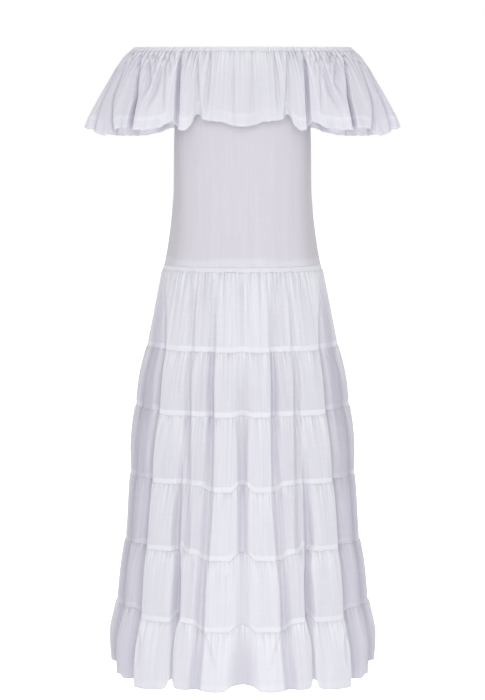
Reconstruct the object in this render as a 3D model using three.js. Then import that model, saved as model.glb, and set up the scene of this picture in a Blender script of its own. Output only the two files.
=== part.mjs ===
// A long summer dress in thin crinkled cotton. Its neckline is an elastic casing worn below the
// shoulders, with one deep flounce all round it that falls over both arms. Under that are a plain
// straight bodice, a narrow flat band at the hips and a skirt of six gathered tiers, each wider than
// the one above. It is shaped as it hangs when worn: hollow, and open at the neck, arms and hem.
//
// Millimetres, +Z up, and the front faces -Y. The origin is the middle of the neckline's top edge,
// and every depth is measured down from there. Angles are degrees round the axis from the front
// centre, and what is said of one side holds for the other.
import * as THREE from "three";

const { degToRad, lerp, clamp, smoothstep } = THREE.MathUtils;

// Driving sizes
const CLOTH = 1.5; // thickness of a cloth wall
const SEAM_GAP = 0.3; // between pieces that are sewn together
const CASING_HEIGHT = 9; // elastic channel with its small heading
const HIP_BAND_TOP = 442;
const HIP_BAND_HEIGHT = 10;
const UNDERARM_DEPTH = 125; // lowest point of the armhole
const ARMHOLE_CORNER = 48; // angle where the bodice's top edge leaves the casing
const SIDE_SEAM = 90;
const FLOUNCE_HEM_HEIGHT = 23; // turned-up hem, held by a raised line of stitching
const STITCH_RIDGE = 1.2; // how far that line stands proud

// How finely the cloth is stepped
const SKIRT_COLUMNS = 120;
const SKIRT_GATHERS = 20; // in each tier
const NECK_COLUMNS = 136;
const NECK_GATHERS = 34;
const BODICE_COLUMNS = 30;
const BODICE_BANDS = 8;

const WHITE_COTTON = { color: 0xe4e3ec, roughness: 0.9, metalness: 0 };
const SINGLE_COTTON = { color: 0xdcd9e0, roughness: 0.9, metalness: 0 }; // one sheer layer looks greyer

// Outline of the casing and flounce: ovals at depths below the neckline. A square of 2 is an ellipse.
const FLOUNCE_OVALS = [
  { depth: 0, halfWidth: 221.5, halfFront: 107, halfBack: 103, square: 2.5 },
  { depth: 9, halfWidth: 230, halfFront: 109, halfBack: 105, square: 2.5 },
  { depth: 22, halfWidth: 242, halfFront: 113, halfBack: 109, square: 2.48 },
  { depth: 59, halfWidth: 267, halfFront: 123, halfBack: 120, square: 2.42 },
  { depth: 108, halfWidth: 297, halfFront: 132, halfBack: 132, square: 2.36 },
  { depth: 150, halfWidth: 318, halfFront: 138, halfBack: 141, square: 2.3 },
  { depth: 190, halfWidth: 326, halfFront: 142, halfBack: 147, square: 2.3 },
];

// Outline of the bodice below the underarm and of the skirt, before any fold is pressed into it
const BODY_OVALS = [
  { depth: 125, halfWidth: 138, halfFront: 108, halfBack: 98, square: 2.9 },
  { depth: 200, halfWidth: 140, halfFront: 106, halfBack: 96, square: 2.7 },
  { depth: 290, halfWidth: 141.5, halfFront: 101, halfBack: 94, square: 2.5 },
  { depth: 352, halfWidth: 147, halfFront: 101, halfBack: 97, square: 2.4 },
  { depth: 414, halfWidth: 155.5, halfFront: 105, halfBack: 103, square: 2.35 },
  { depth: 447, halfWidth: 162, halfFront: 110, halfBack: 109, square: 2.3 },
  { depth: 531, halfWidth: 179, halfFront: 120, halfBack: 118, square: 2.35 },
  { depth: 611, halfWidth: 196, halfFront: 129, halfBack: 126, square: 2.4 },
  { depth: 676, halfWidth: 211, halfFront: 137, halfBack: 133, square: 2.45 },
  { depth: 741, halfWidth: 220.5, halfFront: 145, halfBack: 140, square: 2.5 },
  { depth: 814, halfWidth: 228, halfFront: 160, halfBack: 150, square: 2.5 },
  { depth: 887, halfWidth: 231.5, halfFront: 173, halfBack: 162, square: 2.5 },
  { depth: 955, halfWidth: 235.5, halfFront: 184, halfBack: 172, square: 2.55 },
  { depth: 1023, halfWidth: 243.5, halfFront: 194, halfBack: 182, square: 2.6 },
  { depth: 1093, halfWidth: 253.5, halfFront: 203, halfBack: 190, square: 2.6 },
  { depth: 1163, halfWidth: 264, halfFront: 211, halfBack: 198, square: 2.6 },
  { depth: 1222, halfWidth: 275, halfFront: 221, halfBack: 208, square: 2.6 },
  { depth: 1282, halfWidth: 276, halfFront: 229, halfBack: 214, square: 2.6 },
];

// The skirt's edges from the hip band to the hem. The cloth between the deep front folds is lifted,
// so there each seam rises: at the centre front, and between the folds beside it. The last one's
// depth is taken from the hem's own table.
const SKIRT_EDGES = [
  { depth: 452, riseCentre: 0, riseFront: 0, gather: 1.2, bands: 2 },
  { depth: 611, riseCentre: 0, riseFront: 0, gather: 1.8, bands: 2 },
  { depth: 741, riseCentre: 2, riseFront: 2, gather: 2, bands: 2 },
  { depth: 887, riseCentre: 13, riseFront: 11, gather: 2.2, bands: 2 },
  { depth: 1023, riseCentre: 13, riseFront: 12, gather: 2.4, bands: 2 },
  { depth: 1163, riseCentre: 15, riseFront: 13, gather: 2.6, bands: 3 },
  { depth: 1282, riseCentre: 0, riseFront: 0, gather: 0, bands: 0 },
];
const LIFTED_FRONT = { angle: 38, halfWidth: 24 };
const LIFTED_CENTRE = { angle: 0, halfWidth: 9 };

// Depth of the skirt's hem round the dress: it dips at each front fold and lifts at the sides
const SKIRT_HEM = [
  { angle: 0, depth: 1273 },
  { angle: 5, depth: 1275 },
  { angle: 9, depth: 1284 },
  { angle: 15, depth: 1287 },
  { angle: 24, depth: 1283 },
  { angle: 36, depth: 1282 },
  { angle: 42, depth: 1288 },
  { angle: 51, depth: 1290 },
  { angle: 57, depth: 1273 },
  { angle: 69, depth: 1274 },
  { angle: 75, depth: 1256 },
  { angle: 90, depth: 1258 },
  { angle: 105, depth: 1272 },
  { angle: 120, depth: 1283 },
  { angle: 180, depth: 1284 },
];

// Long folds pressed into the skirt. Each column holds the value at these depths, and a fold fades
// out from the first of them up to the hip band.
const FOLD_DEPTHS = [611, 887, 1163, 1282];
const SKIRT_FOLDS = [
  { angle: [0, 0, 0, 0], halfWidth: [12, 6, 4.5, 10], inward: [7, 20, 22, 26] },
  { angle: [27, 22.5, 25, 25], halfWidth: [6, 6, 7, 7], inward: [8, 15, 14, 17] },
  { angle: [44, 39, 36.5, 35.5], halfWidth: [6, 6.5, 6, 5], inward: [9, 18, 36, 26] },
  { angle: [63, 60, 58, 59], halfWidth: [7, 8, 8, 7], inward: [8, 15, 24, 28] },
  { angle: [80, 79, 78, 79], halfWidth: [6, 7, 7, 7], inward: [3, 8, 13, 17] },
  { angle: [101, 102, 103, 104], halfWidth: [7, 8, 8, 8], inward: [4, 10, 18, 20] },
  { angle: [121, 122, 121, 121], halfWidth: [7, 8, 8, 8], inward: [7, 17, 28, 30] },
  { angle: [140, 141, 142, 141], halfWidth: [6, 7, 7, 8], inward: [5, 12, 17, 20] },
  { angle: [160, 159, 160, 161], halfWidth: [8, 8, 8, 9], inward: [8, 20, 30, 32] },
];

// Folds of the flounce, from the casing to the hem
const FLOUNCE_FOLDS = [
  { angleTop: 0, angleHem: 0, halfWidth: 4, inward: 4 },
  { angleTop: 24, angleHem: 25, halfWidth: 5, inward: 6 },
  { angleTop: 34, angleHem: 33, halfWidth: 4, inward: 17 },
  { angleTop: 46, angleHem: 44.5, halfWidth: 3.5, inward: 30 },
  { angleTop: 57, angleHem: 54, halfWidth: 3.5, inward: 8 },
  { angleTop: 72, angleHem: 64, halfWidth: 3.5, inward: 32 },
  { angleTop: 79, angleHem: 73, halfWidth: 3, inward: 16 },
  { angleTop: 84, angleHem: 80, halfWidth: 3, inward: 14 },
  { angleTop: 95, angleHem: 97, halfWidth: 3, inward: 16 },
  { angleTop: 101, angleHem: 105, halfWidth: 3, inward: 22 },
  { angleTop: 109, angleHem: 114, halfWidth: 4, inward: 28 },
  { angleTop: 123, angleHem: 127, halfWidth: 5, inward: 20 },
  { angleTop: 138, angleHem: 140, halfWidth: 5, inward: 24 },
  { angleTop: 155, angleHem: 156, halfWidth: 6, inward: 14 },
  { angleTop: 170, angleHem: 170, halfWidth: 5, inward: 12 },
];

// Depth of the flounce's hem round the dress
const FLOUNCE_HEM = [
  { angle: 0, depth: 159 },
  { angle: 9, depth: 156 },
  { angle: 17, depth: 150 },
  { angle: 30, depth: 145 },
  { angle: 34, depth: 135 },
  { angle: 40, depth: 165 },
  { angle: 44, depth: 165 },
  { angle: 48, depth: 149 },
  { angle: 52, depth: 160 },
  { angle: 62, depth: 166 },
  { angle: 69, depth: 165 },
  { angle: 73, depth: 177 },
  { angle: 78, depth: 170 },
  { angle: 90, depth: 159 },
  { angle: 100, depth: 172 },
  { angle: 112, depth: 183 },
  { angle: 120, depth: 182 },
  { angle: 130, depth: 169 },
  { angle: 150, depth: 160 },
  { angle: 180, depth: 162 },
];

// A table's columns at a value of its key column, in straight lines between its rows
function rowAt(table, key, value) {
  const next = table.findIndex((row) => row[key] >= value);
  if (next === 0) return table[0];
  if (next < 0) return table[table.length - 1];
  const [low, high] = [table[next - 1], table[next]];
  const share = (value - low[key]) / (high[key] - low[key]);
  return Object.fromEntries(
    Object.keys(low).map((name) => [name, lerp(low[name], high[name], share)]),
  );
}

// One of a fold's columns at a depth
function foldValue(values, depth) {
  const table = values.map((value, i) => ({ depth: FOLD_DEPTHS[i], value }));
  return rowAt(table, "depth", depth).value;
}

// The shortest way from one angle to another
function angleBetween(a, b) {
  return Math.abs(((a - b + 540) % 360) - 180);
}

// A soft swell of height 1 at a fold's middle, on both sides of the dress
function swell(degrees, { angle, halfWidth }) {
  const away = Math.min(angleBetween(degrees, angle), angleBetween(degrees, -angle));
  return Math.max(0, 1 - (away / halfWidth) ** 2) ** 2;
}

// A point of an oval at an angle from the front centre, moved in along the oval's normal
function ovalPoint(oval, degrees, inward) {
  const turn = degToRad(degrees);
  const [across, ahead] = [Math.sin(turn), -Math.cos(turn)];
  const halfDepth = ahead < 0 ? oval.halfFront : oval.halfBack;
  const reach =
    (Math.abs(across / oval.halfWidth) ** oval.square +
      Math.abs(ahead / halfDepth) ** oval.square) **
    (-1 / oval.square);
  const point = new THREE.Vector2(across, ahead).multiplyScalar(reach);
  const steepness = oval.square - 1;
  const normal = new THREE.Vector2(
    (Math.sign(point.x) * Math.abs(point.x / oval.halfWidth) ** steepness) / oval.halfWidth,
    (Math.sign(point.y) * Math.abs(point.y / halfDepth) ** steepness) / halfDepth,
  ).normalize();
  return point.addScaledVector(normal, -inward);
}

// An oval that lies inside another one, the same distance away all round
function inset({ halfWidth, halfFront, halfBack, square }, by) {
  return {
    halfWidth: halfWidth - by,
    halfFront: halfFront - by,
    halfBack: halfBack - by,
    square,
  };
}

// Angles that divide an oval into steps of equal length, from -180 round to 180
function evenAngles(oval, count) {
  const samples = 2880;
  const angles = Array.from({ length: samples + 1 }, (_, i) => -180 + (360 * i) / samples);
  const points = angles.map((a) => ovalPoint(oval, a, 0));
  const along = [0];
  for (let i = 1; i <= samples; i++)
    along.push(along[i - 1] + points[i].distanceTo(points[i - 1]));
  return Array.from({ length: count }, (_, step) => {
    const wanted = (along[samples] * step) / count;
    return angles[along.findIndex((length) => length >= wanted)];
  });
}

// Rows of outer points become a closed wall of cloth. Each row runs from -180 towards 180, and the
// first row is the top one. A tube joins its last column to its first, and a panel doesn't.
function clothWall(rows, thickness, isTube) {
  const columns = rows[0].length;
  const wrap = (j) => (isTube ? (j + columns) % columns : clamp(j, 0, columns - 1));
  const inner = rows.map((row) =>
    row.map((point, j) => {
      const along = new THREE.Vector3().subVectors(row[wrap(j + 1)], row[wrap(j - 1)]);
      const outward = new THREE.Vector3(along.y, -along.x, 0).normalize();
      return point.clone().addScaledVector(outward, -thickness);
    }),
  );
  const points = [...rows.flat(), ...inner.flat()];
  const outerAt = (i, j) => i * columns + wrap(j);
  const innerAt = (i, j) => rows.length * columns + outerAt(i, j);
  const triangles = [];
  const quad = (a, b, c, d) => triangles.push(a, b, c, a, c, d);
  const lastRow = rows.length - 1;
  const steps = isTube ? columns : columns - 1;
  for (let j = 0; j < steps; j++) {
    for (let i = 0; i < lastRow; i++) {
      quad(outerAt(i, j), outerAt(i + 1, j), outerAt(i + 1, j + 1), outerAt(i, j + 1));
      quad(innerAt(i, j), innerAt(i, j + 1), innerAt(i + 1, j + 1), innerAt(i + 1, j));
    }
    quad(outerAt(0, j), outerAt(0, j + 1), innerAt(0, j + 1), innerAt(0, j));
    quad(outerAt(lastRow, j), innerAt(lastRow, j), innerAt(lastRow, j + 1), outerAt(lastRow, j + 1));
  }
  if (!isTube)
    for (let i = 0; i < lastRow; i++) {
      quad(outerAt(i, 0), innerAt(i, 0), innerAt(i + 1, 0), outerAt(i + 1, 0));
      quad(outerAt(i, steps), outerAt(i + 1, steps), innerAt(i + 1, steps), innerAt(i, steps));
    }
  return new THREE.BufferGeometry()
    .setAttribute(
      "position",
      new THREE.Float32BufferAttribute(points.flatMap((p) => p.toArray()), 3),
    )
    .setIndex(triangles);
}

function lower(point, depth) {
  return new THREE.Vector3(point.x, point.y, -depth);
}

// The waves that the gathers press into one of the skirt's edges. Their height varies round it.
function edgeGathers(edge, degrees) {
  const turn = degToRad(Math.abs(degrees));
  const uneven = 0.65 + 0.35 * Math.sin(5 * turn + 2.1 * edge) * Math.cos(3 * turn - edge);
  return SKIRT_EDGES[edge].gather * uneven * Math.cos(SKIRT_GATHERS * turn + 1.3 * edge);
}

const dress = new THREE.Group();

function addPiece(name, geometry, finish) {
  const piece = new THREE.Mesh(geometry, new THREE.MeshStandardMaterial(finish));
  piece.name = name;
  dress.add(piece);
}

const neckAngles = evenAngles(rowAt(FLOUNCE_OVALS, "depth", 59), NECK_COLUMNS);

// The ruched casing, thick enough to hold the top edges of the flounce and the bodice under it
function necklineCasing() {
  const ruche = 0.9;
  const rows = [0, CASING_HEIGHT].map((depth) =>
    neckAngles.map((a, j) => {
      const wave = ruche * Math.cos((2 * Math.PI * NECK_GATHERS * j) / NECK_COLUMNS);
      return lower(ovalPoint(rowAt(FLOUNCE_OVALS, "depth", depth), a, wave - ruche), depth);
    }),
  );
  return clothWall(rows, 2 * CLOTH + 2 * SEAM_GAP, true);
}

// How far the flounce is folded in, at a share of the way down it
function flounceFold(degrees, share) {
  const fold = FLOUNCE_FOLDS.map(({ angleTop, angleHem, halfWidth, inward }) => {
    const angle = lerp(angleTop, angleHem, share);
    return inward * swell(degrees, { angle, halfWidth: lerp(0.6, 1, share) * halfWidth });
  });
  return share ** 0.8 * Math.max(...fold);
}

function flounce() {
  const top = CASING_HEIGHT + SEAM_GAP;
  const ridge = 3; // half the width of the stitched line
  const rowDepths = (hem) => [
    ...[0, 0.3, 0.62].map((share) => lerp(top, hem, share)),
    ...[ridge, 0, -ridge].map((above) => hem - FLOUNCE_HEM_HEIGHT - above),
    hem,
  ];
  const stitched = 4; // row of the raised line
  const rows = rowDepths(0).map((_, i) =>
    neckAngles.map((a, j) => {
      const hem = rowAt(FLOUNCE_HEM, "angle", Math.abs(a)).depth;
      const depth = rowDepths(hem)[i];
      const share = (depth - top) / (hem - top);
      const wave = 1.6 * Math.cos((2 * Math.PI * NECK_GATHERS * j) / NECK_COLUMNS);
      const gathered = wave * smoothstep(share, 0, 0.15) * (1 - share) ** 2;
      const inward = flounceFold(a, share) + gathered - (i === stitched ? STITCH_RIDGE : 0);
      return lower(ovalPoint(rowAt(FLOUNCE_OVALS, "depth", depth), a, inward), depth);
    }),
  );
  return clothWall(rows, CLOTH, true);
}

// Depth of the bodice's top edge: along the casing, then down round the armhole to the underarm
function bodiceTop(fromCentre) {
  const top = CASING_HEIGHT + SEAM_GAP;
  const share = clamp((fromCentre - ARMHOLE_CORNER) / (SIDE_SEAM - ARMHOLE_CORNER), 0, 1);
  return lerp(top, UNDERARM_DEPTH, Math.sqrt(1 - (1 - share) ** 2));
}

// One bodice panel, centred on an angle of 0 for the front or 180 for the back
function bodicePanel(middle) {
  const top = CASING_HEIGHT + SEAM_GAP;
  const underFlounce = inset(rowAt(FLOUNCE_OVALS, "depth", top), CLOTH + 2 * SEAM_GAP);
  const bottom = HIP_BAND_TOP - SEAM_GAP;
  const edge = 0.08; // degrees left open at each side seam
  const rows = Array.from({ length: BODICE_BANDS + 1 }, (_, i) =>
    Array.from({ length: BODICE_COLUMNS + 1 }, (_, j) => {
      const away = lerp(-SIDE_SEAM + edge, SIDE_SEAM - edge, j / BODICE_COLUMNS);
      const depth = lerp(bodiceTop(Math.abs(away)), bottom, i / BODICE_BANDS);
      const atArmhole = clamp(away, -ARMHOLE_CORNER, ARMHOLE_CORNER);
      const neckReach = ovalPoint(underFlounce, middle + atArmhole, 0).length();
      const below = ovalPoint(rowAt(BODY_OVALS, "depth", depth), middle + away, 0);
      const blend = smoothstep(depth, top, UNDERARM_DEPTH);
      return lower(below.setLength(lerp(neckReach, below.length(), blend)), depth);
    }),
  );
  return clothWall(rows, CLOTH, false);
}

// How far the skirt is folded in at a depth. Folds fade out towards the hip band.
function skirtFold(degrees, depth) {
  const fade = clamp((depth - SKIRT_EDGES[0].depth) / (FOLD_DEPTHS[0] - SKIRT_EDGES[0].depth), 0, 1);
  const folds = SKIRT_FOLDS.map(
    ({ angle, halfWidth, inward }) =>
      foldValue(inward, depth) *
      swell(degrees, {
        angle: foldValue(angle, depth),
        halfWidth: foldValue(halfWidth, depth),
      }),
  );
  return fade * Math.max(...folds);
}

// Depth of one of the skirt's edges at an angle
function skirtEdge({ depth, riseCentre, riseFront }, degrees) {
  return (
    depth - riseCentre * swell(degrees, LIFTED_CENTRE) - riseFront * swell(degrees, LIFTED_FRONT)
  );
}

function skirtHem(degrees) {
  return rowAt(SKIRT_HEM, "angle", Math.abs(degrees)).depth;
}

const skirtAngles = Array.from(
  { length: SKIRT_COLUMNS },
  (_, j) => -180 + (360 * j) / SKIRT_COLUMNS,
);

function hipBand() {
  const rows = [HIP_BAND_TOP, HIP_BAND_TOP + HIP_BAND_HEIGHT - SEAM_GAP / 2].map((depth) =>
    skirtAngles.map((a) => lower(ovalPoint(rowAt(BODY_OVALS, "depth", depth), a, -0.5), depth)),
  );
  return clothWall(rows, CLOTH + 1, true);
}

function skirtTier(tier) {
  const [above, below] = [SKIRT_EDGES[tier], SKIRT_EDGES[tier + 1]];
  const rows = Array.from({ length: above.bands + 1 }, (_, i) =>
    skirtAngles.map((a) => {
      const share = i / above.bands;
      const top = skirtEdge(above, a) + SEAM_GAP / 2;
      const bottom = below.bands ? skirtEdge(below, a) - SEAM_GAP / 2 : skirtHem(a);
      const depth = lerp(top, bottom, share);
      const gathered = lerp(edgeGathers(tier, a), edgeGathers(tier + 1, a), share);
      const inward = skirtFold(a, depth) + gathered;
      return lower(ovalPoint(rowAt(BODY_OVALS, "depth", depth), a, inward), depth);
    }),
  );
  return clothWall(rows, CLOTH, true);
}

addPiece("neckline_casing", necklineCasing(), WHITE_COTTON);
addPiece("flounce", flounce(), WHITE_COTTON);
addPiece("bodice_front", bodicePanel(0), SINGLE_COTTON);
addPiece("bodice_back", bodicePanel(180), SINGLE_COTTON);
addPiece("hip_band", hipBand(), WHITE_COTTON);
for (let tier = 0; tier < SKIRT_EDGES.length - 1; tier++)
  addPiece(`skirt_tier_${tier + 1}`, skirtTier(tier), WHITE_COTTON);

export default dress;
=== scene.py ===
# A long summer dress in thin crinkled cotton: an elastic neckline worn below the shoulders, one
# deep gathered flounce all round it, a plain bodice, a narrow hip band and six gathered tiers.
#
# Lengths of the dress are millimetres below the neckline's top edge, and angles are degrees round
# the dress from the front centre. Both are turned into the frame's metres where a cloth is shaped.
# What is said of one side of the dress holds for the other.
import math
from collections import namedtuple

import bmesh
import bpy
import numpy as np
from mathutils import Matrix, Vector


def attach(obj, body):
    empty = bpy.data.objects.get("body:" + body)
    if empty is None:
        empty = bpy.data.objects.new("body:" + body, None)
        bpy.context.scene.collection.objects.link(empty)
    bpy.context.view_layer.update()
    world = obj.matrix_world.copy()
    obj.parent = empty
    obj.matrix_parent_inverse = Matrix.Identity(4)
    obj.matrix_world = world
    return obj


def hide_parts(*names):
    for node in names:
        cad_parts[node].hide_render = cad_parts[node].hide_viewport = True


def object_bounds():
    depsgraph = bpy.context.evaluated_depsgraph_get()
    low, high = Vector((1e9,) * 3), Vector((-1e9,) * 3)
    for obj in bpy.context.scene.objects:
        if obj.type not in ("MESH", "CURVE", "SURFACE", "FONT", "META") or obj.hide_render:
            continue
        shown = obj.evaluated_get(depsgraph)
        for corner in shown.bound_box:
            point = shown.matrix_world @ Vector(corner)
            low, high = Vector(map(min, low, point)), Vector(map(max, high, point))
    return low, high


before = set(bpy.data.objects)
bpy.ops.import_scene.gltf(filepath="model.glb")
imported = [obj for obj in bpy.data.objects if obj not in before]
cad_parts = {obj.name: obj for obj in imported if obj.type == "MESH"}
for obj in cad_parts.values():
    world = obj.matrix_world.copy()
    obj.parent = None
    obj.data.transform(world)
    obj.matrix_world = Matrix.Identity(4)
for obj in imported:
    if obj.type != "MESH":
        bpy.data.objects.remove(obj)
cad_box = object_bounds()

MM = 0.001
THICKNESS = 0.8  # of the cloth: more than the real one, so that its edges aren't see-through
SEAM_TUCK = 2  # how far a tier's gathered top runs up behind the tier above
STRIP = 12  # height of the flat strip over each seam, where the turned allowance lies under it
STRIP_EASE = 0.8  # over which the gathered cloth turns flat, above and below the strip's top
CASING_HEIGHT = 9
HIP_BAND_TOP, HIP_BAND_BOTTOM = 442, 452
UNDERARM_DEPTH = 125
ARMHOLE_CORNER = 48  # angle where the bodice's top edge leaves the casing
SIDE_SEAM = 90  # angle of the bodice's side seams
FLOUNCE_HEM_HEIGHT = 23
HEM_STITCHING = 1.5  # half width of the raised line that the stitching makes
ALLOWANCE = 15  # turned under, above the hip band, and seen through the single cloth

# The oval that a piece hangs on, at a depth. A square of 2 is an ellipse, and more is squarer.
Oval = namedtuple("Oval", "depth half_width half_front half_back square")
NECK_OVALS = [
    Oval(0, 221.5, 107, 103, 2.5),
    Oval(9, 230, 109, 105, 2.5),
    Oval(22, 242, 113, 109, 2.48),
    Oval(59, 267, 123, 120, 2.42),
    Oval(108, 297, 132, 132, 2.36),
    Oval(150, 318, 138, 141, 2.3),
    Oval(190, 326, 142, 147, 2.3),
]
BODY_OVALS = [
    Oval(125, 138, 108, 98, 2.9),
    Oval(200, 140, 106, 96, 2.7),
    Oval(290, 141.5, 101, 94, 2.5),
    Oval(352, 147, 101, 97, 2.4),
    Oval(414, 155.5, 105, 103, 2.35),
    Oval(447, 162, 110, 109, 2.3),
    Oval(531, 179, 120, 118, 2.35),
    Oval(611, 196, 129, 126, 2.4),
    Oval(676, 211, 137, 133, 2.45),
    Oval(741, 220.5, 145, 140, 2.5),
    Oval(814, 228, 160, 150, 2.5),
    Oval(887, 231.5, 173, 162, 2.5),
    Oval(955, 235.5, 184, 172, 2.55),
    Oval(1023, 243.5, 194, 182, 2.6),
    Oval(1093, 253.5, 203, 190, 2.6),
    Oval(1163, 264, 211, 198, 2.6),
    Oval(1222, 275, 221, 208, 2.6),
    Oval(1282, 276, 229, 214, 2.6),
]

# A fold that runs down the cloth: where its line lies at a depth, how wide and how deep it is
# there, and how far its deepest line leans from its middle, from -1 towards the front centre to 1
# away from it.
Crease = namedtuple("Crease", "depth angle half_width inward lean")
SKIRT_FOLDS = {
    "centre": [
        Crease(600, 0, 11, 0, 0),
        Crease(627, 0, 11.5, 2, 0),
        Crease(700, 0, 11, 4, 0),
        Crease(741, 0, 8.5, 7, 0),
        Crease(790, 0, 4.8, 10, 0),
        Crease(875, 0, 3.8, 11, 0),
        Crease(1000, 0, 3.4, 10, 0),
        Crease(1040, 0, 3.8, 4, 0),
        Crease(1140, 0, 4.4, 3, 0),
        Crease(1183, 0, 6.4, 6, 0),
        Crease(1230, 0, 8, 11, 0),
        Crease(1282, 0, 8.8, 13, 0),
    ],
    "beside the centre": [
        Crease(452, 30, 4, 0, 0),
        Crease(520, 29, 5, 3, -0.2),
        Crease(600, 27.6, 5, 5, -0.4),
        Crease(640, 27.6, 4.6, 9, -0.6),
        Crease(741, 26, 4.6, 11, -0.6),
        Crease(806, 24.4, 4.6, 10, -0.6),
        Crease(890, 23.4, 4.8, 10, -0.4),
        Crease(1016, 22.9, 3.9, 10, -0.3),
        Crease(1084, 23.5, 3.4, 11, -0.3),
        Crease(1154, 23.4, 3.4, 12, -0.2),
        Crease(1183, 22.8, 3.2, 11, -0.2),
        Crease(1282, 23.6, 3.6, 13, 0),
    ],
    "inner half of the deep fold": [
        Crease(452, 46, 4, 0, 0),
        Crease(508, 44.8, 4, 4, 0),
        Crease(600, 42.8, 4, 5, 0),
        Crease(668, 41.5, 2.8, 8, 0),
        Crease(732, 39.8, 2.8, 9, 0),
        Crease(808, 37.2, 3, 9, 0),
        Crease(870, 35.6, 3.2, 7, 0),
        Crease(996, 33.4, 3.6, 7, 0),
        Crease(1030, 33.4, 3.6, 0, 0),
    ],
    "deep fold": [
        Crease(760, 40.5, 3, 0, 0),
        Crease(872, 39.6, 2.6, 9, 0),
        Crease(928, 38.6, 3.2, 14, 0.2),
        Crease(996, 37.4, 3.6, 16, 0.3),
        Crease(1032, 36.1, 2, 13, 0),
        Crease(1064, 35.5, 2.4, 16, -0.1),
        Crease(1114, 35.7, 3, 18, -0.3),
        Crease(1140, 35.5, 2.9, 18, -0.2),
        Crease(1166, 35.2, 1.3, 11, 0),
        Crease(1192, 35, 0.7, 8, 0),
        Crease(1282, 34.5, 0.7, 8, 0),
    ],
    "slanted crease in the last tier": [
        Crease(1170, 20, 0.9, 0, 0),
        Crease(1186, 18.6, 1, 3, 0),
        Crease(1216, 16, 1.2, 3, 0),
        Crease(1250, 14.4, 1.2, 0, 0),
    ],
    "gather beside the front's edge": [
        Crease(1166, 53.5, 0.8, 0, 0),
        Crease(1184, 52.3, 1.3, 4, 0),
        Crease(1200, 51.3, 1.7, 5, 0),
        Crease(1228, 51, 1.4, 4, 0),
        Crease(1260, 51.6, 1, 0, 0),
    ],
    "edge of the front": [
        Crease(452, 77, 5, 2, -0.5),
        Crease(552, 69, 6.5, 9, -0.6),
        Crease(611, 66.5, 7, 12, -0.6),
        Crease(741, 64.5, 7.5, 16, -0.6),
        Crease(881, 63, 7.5, 19, -0.6),
        Crease(1011, 61.5, 7.5, 23, -0.6),
        Crease(1159, 59.5, 7, 27, -0.5),
        Crease(1282, 59, 6.5, 30, -0.4),
    ],
    "behind the edge": [
        Crease(500, 82, 3, 0, 0),
        Crease(611, 75, 4, 8, 0),
        Crease(881, 72.5, 4, 12, 0),
        Crease(1159, 70, 4, 12, 0),
        Crease(1282, 70, 4.5, 13, 0),
    ],
    "side": [
        Crease(500, 88, 3, 0, 0),
        Crease(611, 83.5, 4, 4, 0),
        Crease(887, 82, 5, 9, 0.2),
        Crease(1163, 81, 5.5, 15, 0.2),
        Crease(1282, 82, 6, 19, 0.2),
    ],
    "behind the side": [
        Crease(452, 100, 5, 0, 0),
        Crease(611, 101, 7, 5, 0.2),
        Crease(887, 102, 8, 11, 0.2),
        Crease(1163, 103, 8, 19, 0.2),
        Crease(1282, 104, 7.5, 22, 0.2),
    ],
    "back, outer": [
        Crease(452, 120, 5, 0, 0),
        Crease(611, 121, 7, 8, -0.2),
        Crease(887, 122, 7.5, 18, -0.3),
        Crease(1163, 121, 8, 29, -0.3),
        Crease(1282, 121, 7.5, 32, -0.3),
    ],
    "back, middle": [
        Crease(452, 141, 4, 0, 0),
        Crease(611, 140, 6, 6, 0.3),
        Crease(887, 141, 6.5, 13, 0.3),
        Crease(1163, 142, 7, 18, 0.3),
        Crease(1282, 141, 7.5, 21, 0.3),
    ],
    "back, inner": [
        Crease(452, 161, 5, 0, 0),
        Crease(611, 160, 7.5, 9, -0.3),
        Crease(887, 159, 7.5, 21, -0.3),
        Crease(1163, 160, 7.5, 31, -0.2),
        Crease(1282, 161, 8, 33, 0),
    ],
}

# The skirt's seams, from the hip band down. The cloth between the deep folds is lifted, and a seam
# rises there by so much at each of the angles.
Edge = namedtuple("Edge", "depth rise")
RISE_ANGLES = [0, 4, 8, 22, 26.5, 32.5, 35.3, 38, 52, 57, 61, 70, 95, 180]
SKIRT_EDGES = [
    Edge(452, [0] * len(RISE_ANGLES)),
    Edge(613, [2, 2, 0, 0, 1, 1, 2, 1, 1, 2, 2, 3, 2, 2]),
    Edge(743, [4, 3, 0, 0, 2, 2, 2, 2, 2, 3, 7, 10, 8, 2]),
    Edge(891, [14, 11, 0, 0, 12, 13, 14, 14, 13, 13, 17, 18, 13, 4]),
    Edge(1027, [17, 12, 0, 0, 12, 14, 27, 17, 15, 15, 20, 18, 10, 4]),
    Edge(1169, [16, 10, 0, 0, 15, 18, 33, 16, 15, 18, 32, 30, 24, 6]),
]

# How white each part of the front is drawn: the cloth lies double where it is lifted, and the centre
# fold and the folds beside it get painted shade.
Tone = namedtuple("Tone", "angle white")
FRONT_TONES_AND_PAINTED_SHADE = [
    Tone(0, 0.88),
    Tone(7, 1),
    Tone(21, 1),
    Tone(24, 0.82),
    Tone(33, 0.8),
    Tone(39, 0.96),
    Tone(52, 0.98),
]

# The tiers from the top: how far one springs out below its seam, how white it is in front, how
# much of the painted shade at the side and there beside the front's edge is taken back, whether
# its strip stays white in the centre fold instead of taking the fold's painted shade, and the
# flat size that its cloth is cut to, in metres.
Tier = namedtuple("Tier", "puff white side_white edge_white strip_at_centre flat")
TIERS = [
    Tier(1.5, 0.86, 0.28, 0.1, True, (1.3, 0.17)),
    Tier(2.5, 0.75, 0, 0, True, (1.5, 0.14)),
    Tier(3, 0.76, 0, 0.25, True, (1.7, 0.155)),
    Tier(3, 0.77, 0.03, 0.48, False, (1.85, 0.145)),
    Tier(3.5, 0.79, 0.14, 0.6, False, (2.0, 0.15)),
    Tier(4, 0.81, 0.27, 0.6, True, (2.2, 0.13)),
]

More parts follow.
